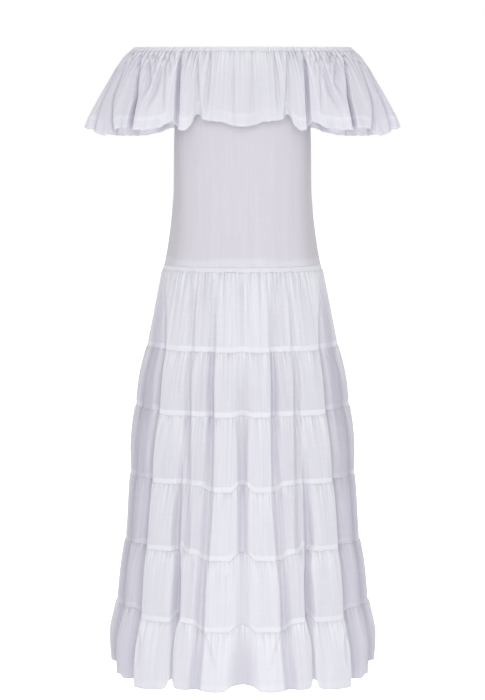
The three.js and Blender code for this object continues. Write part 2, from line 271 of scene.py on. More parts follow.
# Folds of the flounce. The short ones are the gathers' creases, which run out below the casing.
FLOUNCE_FOLDS = {
    "front centre": [Crease(9, 9.6, 1.4, 2, 0), Crease(60, 9, 2, 3, 0), Crease(160, 8.6, 3, 2, 0)],
    "beside the notch": [
        Crease(9, 30.4, 1, 3, 0),
        Crease(18, 29.9, 1.2, 4, 0),
        Crease(61, 29.2, 1.8, 5, 0),
        Crease(111, 29, 2.2, 3, 0),
        Crease(145, 29, 2, 0, 0),
    ],
    "notch": [
        Crease(9, 40.5, 0.9, 3, 0),
        Crease(18, 39.7, 0.9, 6, 0),
        Crease(49, 37.7, 1.1, 6, 0),
        Crease(96, 35.6, 2.6, 6, 0),
        Crease(135, 34.3, 3.4, 9, 0),
        Crease(165, 34.3, 3.6, 10, 0),
    ],
    "beside the inverted fold": [
        Crease(9, 49.3, 0.8, 2, 0),
        Crease(14, 49.1, 0.8, 5, 0),
        Crease(28, 48.8, 0.8, 4, 0),
        Crease(44, 48.6, 0.9, 0, 0),
    ],
    "first gather": [
        Crease(9, 46.9, 0.7, 3, 0),
        Crease(16, 46.8, 0.8, 4, 0),
        Crease(32, 46.2, 0.8, 0, 0),
    ],
    "second gather": [
        Crease(9, 44, 0.7, 3, 0),
        Crease(14, 43.8, 0.8, 4, 0),
        Crease(26, 43.4, 0.8, 0, 0),
    ],
    "inverted fold": [
        Crease(9, 51.2, 0.9, 9, 0),
        Crease(34, 49.4, 1.1, 13, 0),
        Crease(54, 48.6, 1.2, 16, 0),
        Crease(78, 47.6, 1.5, 17, 0),
        Crease(110, 46.5, 1.5, 18, 0),
        Crease(129, 46, 1.4, 17, 0),
        Crease(175, 45.6, 1.4, 15, 0),
    ],
    "third gather": [
        Crease(9, 55, 0.8, 5, 0),
        Crease(22, 53.4, 0.8, 5, 0),
        Crease(42, 52.2, 0.9, 0, 0),
    ],
    "fourth gather": [
        Crease(9, 57.7, 0.7, 6, 0),
        Crease(38, 54.6, 1, 5, 0),
        Crease(62, 53, 1.2, 0, 0),
    ],
    "long crease": [
        Crease(9, 59.8, 0.7, 6, 0),
        Crease(36, 57, 1, 6, 0),
        Crease(64, 55.5, 1.1, 5, 0),
        Crease(111, 53.4, 1.4, 3, 0),
        Crease(145, 52.4, 1.6, 0, 0),
    ],
    "slanted crease": [
        Crease(28, 60, 1, 0, 0),
        Crease(49, 58, 1.5, 6, 0.4),
        Crease(88, 57.7, 2, 7, 0.4),
        Crease(111, 59.2, 2, 5, 0.4),
        Crease(138, 60.2, 2, 0, 0),
    ],
    "fifth gather": [
        Crease(9, 63.4, 0.8, 4, 0),
        Crease(22, 62.1, 0.9, 7, 0),
        Crease(36, 61, 0.9, 0, 0),
    ],
    "sixth gather": [
        Crease(9, 66.3, 0.8, 4, 0),
        Crease(19, 64.1, 0.9, 7, 0),
        Crease(43, 61.4, 0.9, 5, 0),
        Crease(58, 60.2, 1, 0, 0),
    ],
    "soft valley": [
        Crease(9, 68.8, 0.8, 3, 0),
        Crease(21, 66.8, 0.9, 5, 0),
        Crease(53, 63.1, 1.6, 9, 0),
        Crease(74, 62, 1.9, 8, 0),
        Crease(92, 62.9, 2, 5, 0),
        Crease(125, 63, 2, 0, 0),
    ],
    "side fold": [
        Crease(9, 72.6, 0.8, 5, 0),
        Crease(22, 70.4, 0.8, 9, 0),
        Crease(44, 68.6, 0.8, 12, 0),
        Crease(62, 67.3, 0.8, 15, 0),
        Crease(114, 64.9, 1, 19, 0),
        Crease(150, 64.6, 1.1, 20, 0),
        Crease(185, 64.4, 1.1, 20, 0),
    ],
    "side gather": [Crease(9, 78, 1, 5, 0), Crease(24, 75.6, 1.1, 8, 0), Crease(44, 74.4, 1, 0, 0)],
    "side crease": [
        Crease(9, 81, 0.9, 5, 0),
        Crease(26, 78.4, 0.9, 8, 0),
        Crease(68, 76, 0.9, 10, 0),
        Crease(108, 74.6, 1, 11, 0),
        Crease(140, 72.6, 1.1, 11, 0),
        Crease(185, 70.6, 1.2, 14, 0),
    ],
    "last crease": [
        Crease(9, 86, 1.2, 4, 0),
        Crease(60, 83, 1.8, 8, 0),
        Crease(106, 81, 2, 10, 0),
        Crease(185, 79.5, 2.4, 14, 0),
    ],
    "over the arm": [
        Crease(9, 92, 1.2, 5, 0),
        Crease(60, 94, 1.6, 12, 0),
        Crease(180, 98, 2.6, 16, 0),
    ],
    "gather behind the arm": [
        Crease(9, 97, 1.1, 6, 0),
        Crease(30, 98, 1.1, 6, 0),
        Crease(58, 99, 1.2, 0, 0),
    ],
    "behind the arm": [
        Crease(9, 102, 1.2, 6, 0),
        Crease(60, 105, 1.9, 13, 0),
        Crease(185, 108, 2.8, 18, 0),
    ],
    "back corner": [
        Crease(9, 110, 1.1, 5, 0),
        Crease(40, 112, 1.6, 13, 0.2),
        Crease(100, 114.5, 2.3, 20, 0.3),
        Crease(190, 116, 2.8, 26, 0.3),
    ],
    "back gather": [
        Crease(9, 118, 1, 6, 0),
        Crease(34, 119.5, 1.1, 6, 0),
        Crease(70, 120.6, 1.3, 0, 0),
    ],
    "back, outer": [
        Crease(9, 124, 1.2, 5, 0),
        Crease(60, 125.6, 2, 12, -0.3),
        Crease(130, 127, 3, 16, -0.3),
        Crease(185, 127.5, 3.4, 20, 0),
    ],
    "back, slanted": [
        Crease(9, 134, 1, 4, 0),
        Crease(50, 133, 1.6, 7, 0),
        Crease(110, 135, 2, 6, 0),
        Crease(150, 136.5, 2, 0, 0),
    ],
    "back, middle": [
        Crease(9, 139, 1.2, 5, 0),
        Crease(60, 141, 1.9, 14, 0.2),
        Crease(120, 142.6, 2.2, 22, 0.2),
        Crease(185, 143, 2.4, 24, 0.2),
    ],
    "back, second gather": [
        Crease(9, 147, 1, 5, 0),
        Crease(26, 147.4, 1, 5, 0),
        Crease(52, 148, 1.1, 0, 0),
    ],
    "back, inner": [
        Crease(9, 154, 1.2, 4, 0),
        Crease(60, 155, 3, 7, 0),
        Crease(120, 156, 4.2, 10, 0),
        Crease(185, 156.5, 4.6, 13, 0),
    ],
    "back, third gather": [
        Crease(9, 163, 1.1, 5, 0),
        Crease(40, 162.6, 1.3, 5, 0),
        Crease(76, 162, 1.4, 0, 0),
    ],
    "back centre": [
        Crease(9, 171, 1.2, 4, 0),
        Crease(60, 170.4, 2.2, 7, 0),
        Crease(120, 169.4, 3.2, 10, 0),
        Crease(185, 169, 3.6, 11, 0),
    ],
}

# Depth of each hem round the dress. It is higher where a fold takes it in.
HemPoint = namedtuple("HemPoint", "angle depth")
FLOUNCE_HEM = [
    HemPoint(0, 159),
    HemPoint(8.5, 156),
    HemPoint(16.5, 150),
    HemPoint(28, 146),
    HemPoint(31.2, 144),
    HemPoint(32.3, 139),
    HemPoint(33.4, 135.5),
    HemPoint(34.8, 135.5),
    HemPoint(36, 141),
    HemPoint(37, 151),
    HemPoint(38.2, 158),
    HemPoint(40.6, 166),
    HemPoint(44, 165),
    HemPoint(45.6, 158),
    HemPoint(47.5, 148),
    HemPoint(49.2, 151),
    HemPoint(52.8, 160),
    HemPoint(60, 166),
    HemPoint(64, 165),
    HemPoint(66, 162),
    HemPoint(69.7, 164),
    HemPoint(71.2, 172),
    HemPoint(73, 177),
    HemPoint(78, 170),
    HemPoint(88, 159),
    HemPoint(100, 172),
    HemPoint(112, 182),
    HemPoint(120, 182),
    HemPoint(125, 177),
    HemPoint(131, 167),
    HemPoint(142, 166),
    HemPoint(152, 160),
    HemPoint(166, 163),
    HemPoint(180, 160),
]
SKIRT_HEM = [
    HemPoint(0, 1273),
    HemPoint(5, 1275),
    HemPoint(7.5, 1281),
    HemPoint(9, 1285),
    HemPoint(14, 1287),
    HemPoint(22, 1284),
    HemPoint(30, 1283),
    HemPoint(32.8, 1280),
    HemPoint(34, 1264),
    HemPoint(35.2, 1266),
    HemPoint(36.6, 1281),
    HemPoint(40, 1287),
    HemPoint(50, 1290),
    HemPoint(53, 1289),
    HemPoint(54.6, 1282),
    HemPoint(62, 1281),
    HemPoint(63.4, 1273),
    HemPoint(68, 1275),
    HemPoint(70.4, 1273),
    HemPoint(72.4, 1256),
    HemPoint(80, 1254),
    HemPoint(92, 1258),
    HemPoint(105, 1272),
    HemPoint(112, 1282),
    HemPoint(119, 1278),
    HemPoint(126, 1285),
    HemPoint(142, 1281),
    HemPoint(152, 1286),
    HemPoint(180, 1284),
]


def smooth_curve(x, knots, values):
    """A smooth curve through some points, which holds its end values beyond them."""
    knots, values = np.asarray(knots, float), np.asarray(values, float)
    rise = np.diff(values) / np.diff(knots)
    slopes = np.zeros_like(values)
    same_way = rise[1:] * rise[:-1] > 0
    harmonic = 2 * rise[1:] * rise[:-1] / np.where(same_way, rise[1:] + rise[:-1], 1)
    slopes[1:-1] = np.where(same_way, harmonic, 0)
    x = np.clip(x, knots[0], knots[-1])
    i = np.clip(np.searchsorted(knots, x) - 1, 0, len(knots) - 2)
    step = knots[i + 1] - knots[i]
    t = (x - knots[i]) / step
    straight = values[i] * (1 + 2 * t) * (1 - t) ** 2 + values[i + 1] * t * t * (3 - 2 * t)
    return straight + step * t * (1 - t) * (slopes[i] * (1 - t) - slopes[i + 1] * t)


def column(table, name, x, key):
    """One column of a table, at a value of its key column."""
    keys = [getattr(row, key) for row in table]
    return smooth_curve(x, keys, [getattr(row, name) for row in table])


def smooth_step(x, low, high):
    """From 0 at low to 1 at high, eased at both ends."""
    t = np.clip((x - low) / (high - low), 0, 1)
    return t * t * (3 - 2 * t)


def fade(distance, reach):
    """1 at a seam or an edge, and less the further from it."""
    return np.exp(-np.maximum(distance, 0) / reach)


def bell(distance, reach):
    """1 on a line, and less on both sides of it."""
    return np.exp(-((distance / reach) ** 2))


def angle_between(a, b):
    """From b to a the short way round, in degrees."""
    return (a - b + 180) % 360 - 180


def oval_point(ovals, depth, angle, inward):
    """Points across and ahead, at an angle on the oval at a depth, moved in along its normal."""
    turn = np.radians(angle)
    across, ahead = np.sin(turn), -np.cos(turn)
    half_width = column(ovals, "half_width", depth, "depth")
    half_front = column(ovals, "half_front", depth, "depth")
    half_back = column(ovals, "half_back", depth, "depth")
    square = column(ovals, "square", depth, "depth")
    half_depth = np.where(ahead < 0, half_front, half_back)
    reach = np.abs(across / half_width) ** square + np.abs(ahead / half_depth) ** square
    reach = reach ** (-1 / square)
    x, y = across * reach, ahead * reach
    normal_x = np.sign(x) * np.abs(x / half_width) ** (square - 1) / half_width
    normal_y = np.sign(y) * np.abs(y / half_depth) ** (square - 1) / half_depth
    length = np.hypot(normal_x, normal_y)
    return x - inward * normal_x / length, y - inward * normal_y / length


def fold_depth(folds, depth, angle):
    """How far the folds take the cloth in. Where two folds meet, the deeper one wins softly."""
    softness = 1.6  # of a fold's edges, where 1 is a plain parabola
    crispness = 4  # of the line where two folds meet
    total = 0
    for rows in folds.values():
        middle = column(rows, "angle", depth, "depth")
        half_width = column(rows, "half_width", depth, "depth")
        inward = column(rows, "inward", depth, "depth")
        lean = column(rows, "lean", depth, "depth")
        for side in (-1, 1):
            away = np.clip(side * angle_between(angle, side * middle) / half_width, -1, 1)
            away = away - lean * (1 - away**2)
            fold = inward * np.clip(1 - away**2, 0, 1) ** softness
            total = total + fold**crispness
            if np.all(middle == 0):
                break
    return total ** (1 / crispness)


def waves(along, length, spacing, seed):
    """Uneven waves from -1 to 1 along a loop of cloth, the same to the left and right of the front.
    Spacing is from one crest to the next."""
    rng = np.random.default_rng(seed)
    count = max(4, round(length / spacing))
    shifts = rng.uniform(-0.28, 0.28, count)
    knots = (np.arange(count) + 0.5 + shifts) * length / 2 / count
    heights = rng.uniform(0.35, 1, count) * np.where(np.arange(count) % 2, 1, -1)
    knots = np.concatenate([-knots[::-1], knots, length - knots[::-1]])
    heights = np.concatenate([heights[::-1], heights, heights[::-1]])
    return smooth_curve(np.abs(along), knots, heights)


def even_loop(ovals, folds, depth, columns):
    """The length of a loop of cloth, and what gives the angle at a share of it from 0 to 1."""
    steps = 14400
    fine = np.linspace(-180, 180, steps + 1)
    x, y = oval_point(ovals, depth, fine, fold_depth(folds, depth, fine))
    along = np.concatenate([[0], np.cumsum(np.hypot(np.diff(x), np.diff(y)))])
    angles = np.interp(np.linspace(0, along[-1], columns + 1), along, fine)
    shares = np.linspace(0, 1, columns + 1)
    return along[-1], lambda share: np.interp(share, shares, angles)


def cloth(name, columns, rows, shape, size, start, is_tube):
    """A grid of cloth, put in shape. u runs from 0 to 1 round the dress, and v down the piece.
    shape gives x, y, the depth, how white the cloth is drawn (whiter where it is doubled, with
    painted shade and painted light as well) and how tightly it is gathered. Size and start say how
    much of the bolt it is, and how far down the bolt it was cut."""
    bm = bmesh.new()
    bm.loops.layers.uv.new("cloth")
    bmesh.ops.create_grid(bm, x_segments=columns, y_segments=rows, size=0.5, calc_uvs=True)
    mesh = bpy.data.meshes.new(name)
    bm.to_mesh(mesh)
    flat = np.empty(len(mesh.vertices) * 3)
    mesh.vertices.foreach_get("co", flat)
    flat = flat.reshape(-1, 3)
    x, y, depth, *marks = shape(flat[:, 0] + 0.5, 0.5 - flat[:, 1])
    mesh.vertices.foreach_set("co", (np.stack([x, y, -depth], axis=1) * MM).ravel())
    # The doubled mark holds how white the cloth is drawn: doubled cloth, painted shade and painted
    # light.
    for mark, values in zip(("doubled", "gathered"), marks):
        layer = mesh.attributes.new(mark, "FLOAT", "POINT")
        layer.data.foreach_set("value", np.clip(values, 0, 1).astype(np.float32))
    uv = np.empty(len(mesh.loops) * 2)
    mesh.uv_layers["cloth"].data.foreach_get("uv", uv)
    uv = (uv.reshape(-1, 2) * np.array(size) - [0, start]) * MM
    mesh.uv_layers["cloth"].data.foreach_set("uv", uv.ravel())
    bm.clear()
    bm.from_mesh(mesh)
    if is_tube:
        bmesh.ops.remove_doubles(bm, verts=bm.verts, dist=1e-7)
    bmesh.ops.recalc_face_normals(bm, faces=bm.faces)
    if faces_point_in(bm):
        bmesh.ops.reverse_faces(bm, faces=bm.faces)
    bm.to_mesh(mesh)
    bm.free()
    mesh.shade_smooth()
    piece = bpy.data.objects.new(name, mesh)
    bpy.context.scene.collection.objects.link(piece)
    wall = piece.modifiers.new("thickness", "SOLIDIFY")
    wall.thickness = THICKNESS * MM
    wall.offset = -1
    return piece


def faces_point_in(bm):
    """Whether the cloth's outside faces the axis of the dress."""
    outward = 0
    for face in bm.faces:
        middle = face.calc_center_median()
        outward += face.normal.x * middle.x + face.normal.y * middle.y
    return outward < 0


def declare(piece, node, material):
    """Gives a piece its material, attaches it to the root and hides the part that it stands for."""
    piece.data.materials.append(material)
    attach(piece, "root")
    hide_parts(node)


def make_camera():
    """Level with the flounce, five metres in front, looking a little down."""
    distance, height, pitch, lens = 5.05, -0.06, 6.34, 126.4
    camera_data = bpy.data.cameras.new("camera")
    camera_data.lens = lens
    camera_data.clip_end = 100
    camera = bpy.data.objects.new("camera", camera_data)
    camera.location = (0, -distance, height)
    camera.rotation_euler = (math.radians(90 - pitch), 0, 0)
    bpy.context.scene.collection.objects.link(camera)
    bpy.context.scene.camera = camera


class Socket:
    """A socket of a material's nodes, so that its maths reads as an expression."""

    def __init__(self, nodes, socket):
        self.nodes = nodes
        self.socket = socket

    def maths(self, operation, *others):
        inputs = dict(enumerate((self, *others)))
        return self.nodes.add("ShaderNodeMath", {"operation": operation}, inputs)

    def __add__(self, other):
        return self.maths("ADD", other)

    def __sub__(self, other):
        return self.maths("SUBTRACT", other)

    def __rsub__(self, other):
        return (self * -1).maths("ADD", other)

    def __mul__(self, other):
        return self.maths("MULTIPLY", other)

    __radd__ = __add__
    __rmul__ = __mul__

    def absolute(self):
        return self.maths("ABSOLUTE")

    def clamped(self):
        return self.maths("MAXIMUM", 0).maths("MINIMUM", 1)


class Nodes:
    """The nodes of a material, or of the room."""

    def __init__(self, owner):
        self.owner = owner
        owner.use_nodes = True
        self.tree = owner.node_tree
        self.tree.nodes.clear()

    def add(self, kind, settings, inputs, output=0):
        """A node with its settings, and the values or links of its sockets."""
        node = self.tree.nodes.new(kind)
        for name, value in settings.items():
            setattr(node, name, value)
        for name, value in inputs.items():
            if isinstance(value, Socket):
                self.tree.links.new(value.socket, node.inputs[name])
            else:
                node.inputs[name].default_value = value
        return Socket(self, node.outputs[output]) if node.outputs else None

    def noise(self, place, across, down, detail=2.0):
        """Noise that repeats about so often in a metre across the cloth and in a metre down it."""
        multiply = {"operation": "MULTIPLY"}
        stretched = self.add("ShaderNodeVectorMath", multiply, {0: place, 1: (across, down, 1)})
        inputs = {"Vector": stretched, "Scale": 1.0, "Detail": detail}
        return self.add("ShaderNodeTexNoise", {"noise_dimensions": "2D"}, inputs)


def cotton(name, single, double, crinkle):
    """Thin crinkled cotton. It is whiter where it is doubled, and its crinkles run down the piece.
    Its doubled mark also carries painted shade and painted light, and its pleats and crinkles
    get painted shade.
    """
    crinkle_height = 0.0011  # in metres
    shine_through = 0.28
    nodes = Nodes(bpy.data.materials.new(name))
    place = nodes.add("ShaderNodeUVMap", {"uv_map": "cloth"}, {})
    # The doubled mark brings doubled cloth, painted shade and painted light into the colour.
    doubled = nodes.add("ShaderNodeAttribute", {"attribute_name": "doubled"}, {}, output="Fac")
    gathered = nodes.add("ShaderNodeAttribute", {"attribute_name": "gathered"}, {}, output="Fac")
    crinkles = nodes.noise(place, across=170, down=6, detail=3.0)
    fine = nodes.noise(place, across=620, down=30)
    pleats = nodes.noise(place, across=135, down=9, detail=1.0)
    pleats = ((pleats - 0.5).absolute() * 4).clamped()
    warp = nodes.noise(place, across=2200, down=160)
    weft = nodes.noise(place, across=160, down=2200)
    threads = warp + weft
    slubs = nodes.noise(place, across=14, down=480)

    # The crinkles stand higher where the cloth is gathered, with small pleats between them.
    height = crinkles * (gathered * 1.6 + 0.33) + fine * 0.25
    height = height + pleats * gathered * 1.5 + threads * 0.1
    bump_inputs = {"Height": height, "Strength": crinkle, "Distance": crinkle_height}
    bump = nodes.add("ShaderNodeBump", {}, bump_inputs)

    # Painted shade in the pleats' hollows, and painted shade and light along the crinkles, both
    # stronger where the cloth is gathered.
    painted_crease_shade = (1 - pleats) * gathered
    painted_crinkle_shade = (crinkles - 0.5) * (gathered * 1.5 + 0.22)
    white = doubled + painted_crinkle_shade + (fine - 0.5) * 0.16 + (threads - 1) * 0.12
    white = white + (slubs - 0.5) * 0.16 - painted_crease_shade * 0.35
    colours = {"Factor": white.clamped(), "A": (*single, 1), "B": (*double, 1)}
    colour = nodes.add("ShaderNodeMix", {"data_type": "RGBA"}, colours, output=2)
    finish = {
        "Base Color": colour,
        "Roughness": 0.84 + fine * 0.1,
        "Normal": bump,
        "Sheen Weight": 0.35,
    }
    surface = nodes.add("ShaderNodeBsdfPrincipled", {}, finish)
    through = nodes.add("ShaderNodeBsdfTranslucent", {}, {"Color": (*double, 1), "Normal": bump})
    mixed = nodes.add("ShaderNodeMixShader", {}, {0: shine_through, 1: surface, 2: through})
    nodes.add("ShaderNodeOutputMaterial", {}, {"Surface": mixed})
    return nodes.owner


def neck_gathers(angle):
    """Fine creases that run from the casing into the flounce. They are tighter towards the arms."""
    slack = 0.34 + 0.66 * smooth_step(np.abs(angle), 18, 42)
    creases = ((1 - waves(angle + 180, 360, spacing=2.2, seed=22)) / 2) ** 3
    ripples = waves(angle + 180, 360, spacing=1.3, seed=23)
    return slack * (3.2 * creases - 1 + 0.4 * ripples)


def neck_casing(material):
    """The ruched channel that holds the elastic."""
    columns, rows = 1000, 6
    middle, inset, bulge, slack = 5, 0.9, 0.7, 1.8
    length, angle_at = even_loop(NECK_OVALS, {}, middle, columns)

    def shape(u, v):
        angle = angle_at(u)
        depth = v * CASING_HEIGHT
        ruche = neck_gathers(angle) * smooth_step(v, -0.4, 0.4)
        inward = inset + ruche - bulge * np.sin(np.pi * v)
        x, y = oval_point(NECK_OVALS, depth, angle, inward)
        # The casing is doubled cloth; the ruches' hollows get painted shade, and its top edge is
        # drawn whiter.
        doubled = 1.15 - 0.35 * np.maximum(ruche, 0) + 0.2 * smooth_step(v, 0.3, 0)
        return x, y, depth, doubled, 0.8 * smooth_step(v, 0.1, 0.5)

    piece = cloth("casing_cloth", columns, rows, shape, (length * slack, CASING_HEIGHT), 0, True)
    declare(piece, "neckline_casing", material)


def flounce_relief(angle, along, length, below, above):
    """How far the gathers, the ruffled edge and the hem take the flounce in from its folds."""
    relief = 1.9 * neck_gathers(angle) * fade(below, 15)
    puckers = waves(along, length, spacing=17, seed=24)
    relief += 1.3 * puckers * fade(below, 45) * smooth_step(below, 0, 12)
    relief += 1.6 * waves(along, length, spacing=46, seed=25) * smooth_step(below, 5, 40)
    relief += 2.2 * waves(along, length, spacing=24, seed=26) * fade(above, 14)
    tucked = 1.3 * smooth_step(below, 2.5, -0.5)
    springs_out = 1.5 * np.sin(np.pi * np.clip(below / 60, 0, 1))
    stitched = bell(above - FLOUNCE_HEM_HEIGHT, HEM_STITCHING)
    doubled = 0.6 * smooth_step(above, FLOUNCE_HEM_HEIGHT, FLOUNCE_HEM_HEIGHT - 3)
    return relief + tucked - springs_out - stitched - doubled


def flounce_white_and_painted_shade(angle, below, above, folded):
    """How white the flounce is drawn: painted shade in its folds, its gathers' creases and over the
    arms, whiter in its hem, and painted light on its hem at the back.
    """
    from_front = np.abs(angle)
    painted_fold_shade = np.clip(folded / 14, 0, 1) * (0.5 + 0.5 * smooth_step(below, 10, 50))
    painted_shade_at_arm = smooth_step(from_front, 58, 70) * smooth_step(from_front, 100, 86)
    gathers_reach = 22 + 14 * waves(angle + 180, 360, spacing=3.6, seed=27)
    # Painted shade in the folds and over the arms.
    white = 0.65 - 0.38 * painted_fold_shade - 0.1 * painted_shade_at_arm
    # Whiter just under the casing, with painted shade in the hollows of the gathers' creases.
    white += (0.5 - 1.1 * np.maximum(neck_gathers(angle), 0)) * fade(below, gathers_reach)
    white += 0.08 * smooth_step(above, FLOUNCE_HEM_HEIGHT + 1, FLOUNCE_HEM_HEIGHT - 1)
    white += 0.22 * bell(above - FLOUNCE_HEM_HEIGHT, HEM_STITCHING)
    white += 0.5 * smooth_step(above, 3.5, 0.5)
    painted_light_at_back = smooth_step(from_front, 92, 104)
    return white + 0.3 * painted_light_at_back * smooth_step(above, FLOUNCE_HEM_HEIGHT + 1, 15)


def flounce(material):
    """The gathered loop that hangs from the casing, over both arms."""
    columns, rows = 1400, 33
    middle, slack = 120, 1.2
    top = CASING_HEIGHT - 1.5  # a little of it is behind the casing
    length, angle_at = even_loop(NECK_OVALS, FLOUNCE_FOLDS, middle, columns)

    def shape(u, v):
        angle = angle_at(u)
        along = (u - 0.5) * length
        hem = column(FLOUNCE_HEM, "depth", np.abs(angle), "angle")
        hem = hem + 0.8 * waves(along, length, spacing=18, seed=21)
        depth = top + (hem - top) * np.interp(v, [0, 0.35, 1], [0, 0.22, 1])
        below, above = depth - CASING_HEIGHT, hem - depth
        folded = fold_depth(FLOUNCE_FOLDS, np.maximum(depth, CASING_HEIGHT), angle)
        inward = folded + flounce_relief(angle, along, length, below, above)
        x, y = oval_point(NECK_OVALS, depth, angle, inward)
        tight = 0.75 * fade(below, 10 + 22 * smooth_step(np.abs(angle), 20, 50))
        return x, y, depth, flounce_white_and_painted_shade(angle, below, above, folded), tight + 0.05

    piece = cloth("flounce_cloth", columns, rows, shape, (length * slack, 165), 100, True)
    declare(piece, "flounce", material)


def bodice_top(from_centre):
    """Depth of the bodice's top edge: along the casing, then down round the armhole."""
    share = np.clip((from_centre - ARMHOLE_CORNER) / (SIDE_SEAM - ARMHOLE_CORNER), 0, 1)
    return CASING_HEIGHT + (UNDERARM_DEPTH - CASING_HEIGHT) * np.sqrt(1 - (1 - share) ** 2)


def bodice_white_and_painted_shade(from_centre, along, depth, is_front):
    """How white a bodice panel is drawn. It is single cloth, but for its seams and armhole hems, and
    the front's sides get painted shade where they turn away from the light.
    """
    above = HIP_BAND_TOP - depth
    allowance_top = ALLOWANCE + 1.5 * np.cos(along / 34) - 1.5 * bell(along, 40)
    allowance = 0.5 * smooth_step(above, allowance_top + 1, allowance_top - 1)
    side_seam = 0.6 * smooth_step(from_centre, SIDE_SEAM - 3.5, SIDE_SEAM - 3)
    below_top = depth - bodice_top(from_centre)
    armhole_hem = 0.6 * smooth_step(below_top, 9, 8) * (from_centre > ARMHOLE_CORNER)
    doubled = np.maximum(allowance, np.maximum(side_seam, armhole_hem))
    # Painted shade on the front's sides, where they turn away from the light.
    painted_side_shade = smooth_step(from_centre, 54, 68) * smooth_step(from_centre, 88, 76)
    return 0.5 + 0.5 * doubled - 0.42 * painted_side_shade * is_front


def bodice_panel(name, node, middle, material):
    """Half of the bodice, centred on an angle of 0 for the front or 180 for the back."""
    columns, rows = 100, 76
    bottom = HIP_BAND_TOP + 3
    half_length = 0.5 * math.pi * 130
    seam_gap = 0.1  # in degrees, at each side seam
    inset = 2.2  # inside the casing

    def shape(u, v):
        away = (u - 0.5) * 2 * (SIDE_SEAM - seam_gap)
        top = bodice_top(np.abs(away))
        depth = top + (bottom - top) * v
        x_low, y_low = oval_point(BODY_OVALS, depth, middle + away, 0)
        at_casing = np.clip(away, -ARMHOLE_CORNER, ARMHOLE_CORNER)
        x_neck, y_neck = oval_point(NECK_OVALS, CASING_HEIGHT, middle + at_casing, inset)
        blend = smooth_step(depth, CASING_HEIGHT, UNDERARM_DEPTH)
        low, neck = np.hypot(x_low, y_low), np.hypot(x_neck, y_neck)
        along = away / SIDE_SEAM * half_length
        loop = 4 * half_length
        drape = 0.8 * waves(along, loop, spacing=34, seed=31) * smooth_step(depth, 130, 260)
        drape += 0.5 * waves(along, loop, spacing=14, seed=32)
        under_band = smooth_step(depth, HIP_BAND_TOP - 1.5, HIP_BAND_TOP)
        reach = (neck + (low - neck) * blend - drape - under_band) / low
        white = bodice_white_and_painted_shade(np.abs(away), along, depth, middle == 0)
        return x_low * reach, y_low * reach, depth, white, np.zeros_like(u)

    start = 300 + 3 * middle
    piece = cloth(name, columns, rows, shape, (2 * half_length, bottom), start, False)
    declare(piece, node, material)


def hip_band(material):
    """The flat band between the bodice and the skirt."""
    columns, rows = 480, 6
    length, angle_at = even_loop(BODY_OVALS, {}, HIP_BAND_TOP, columns)

    def shape(u, v):
        angle = angle_at(u)
        along = (u - 0.5) * length
        depth = HIP_BAND_TOP + (HIP_BAND_BOTTOM + 1 - HIP_BAND_TOP) * v
        bulge = 0.1 + 0.4 * np.sin(np.pi * v) - 0.15 * waves(along, length, spacing=9, seed=41)
        x, y = oval_point(BODY_OVALS, depth, angle, -bulge)
        return x, y, depth, np.full_like(u, 0.82), np.zeros_like(u)

    size = (length, HIP_BAND_BOTTOM - HIP_BAND_TOP)
    piece = cloth("hip_band_cloth", columns, rows, shape, size, 50, True)
    declare(piece, "hip_band", material)


def skirt_edge(edge, angle):
    """Depth of a seam of the skirt, or of its hem after the last of them."""
    if edge == len(SKIRT_EDGES):
        return column(SKIRT_HEM, "depth", np.abs(angle), "angle")
    row = SKIRT_EDGES[edge]
    return row.depth - smooth_curve(np.abs(angle), RISE_ANGLES, row.rise)


def tier_relief(tier, along, length, depth, below):
    """How far a tier's gathers take its cloth in from its folds. The first tier's run further."""
    seed = 100 * (tier + 1)
    run = 1 if tier else 3
    reach = run * (0.7 + 0.5 * waves(along, length, spacing=25, seed=seed + 9))
    relief = 1.2 * waves(along, length, spacing=7, seed=seed) * fade(below, 17 * reach)
    relief += 1.5 * waves(along, length, spacing=15, seed=seed + 1) * fade(below, 34 * reach)
    relief = relief * smooth_step(below, -0.5, 4) - smooth_step(below, -0.6, 1)
    slanted = along + 0.05 * depth
    return relief + 0.85 * waves(slanted, length, spacing=38, seed=seed + 2)


def tier_white_and_painted_shade(tier, angle, depth, below, folded, hem):
    """How white a tier is drawn: painted shade in its folds and between the front's edge and the
    side, painted light just under its seam, and its strip and hem band whiter where the cloth is
    doubled.
    """
    row = TIERS[tier]
    from_front = np.abs(angle)
    past_edge = from_front - column(SKIRT_FOLDS["edge of the front"], "angle", depth, "depth")
    soft = 1 + 0.5 * max(tier - 2, 0)
    # Painted shade between the front's edge and the side, lighter just past the edge.
    at_side = smooth_step(past_edge, -soft, soft) * smooth_step(from_front, 84, 70)
    shaded = at_side * (1 - row.side_white - row.edge_white * bell(past_edge, 4.5))
    # Painted shade in the folds, and the front's painted shade by angle.
    painted_light_level = (1 - 0.58 * np.clip(folded / 14, 0, 1)) * (1 - shaded)
    painted_light_level *= column(FRONT_TONES_AND_PAINTED_SHADE, "white", from_front, "angle")
    # Painted light just under the seam.
    painted_light_under_seam = 0.45 * fade(below, 20) * (1 - 0.8 * at_side) * (1 - np.clip(folded / 22, 0, 0.9))
    return row.white * painted_light_level + hem * (0.2 + 0.9 * painted_light_level**2) + painted_light_under_seam


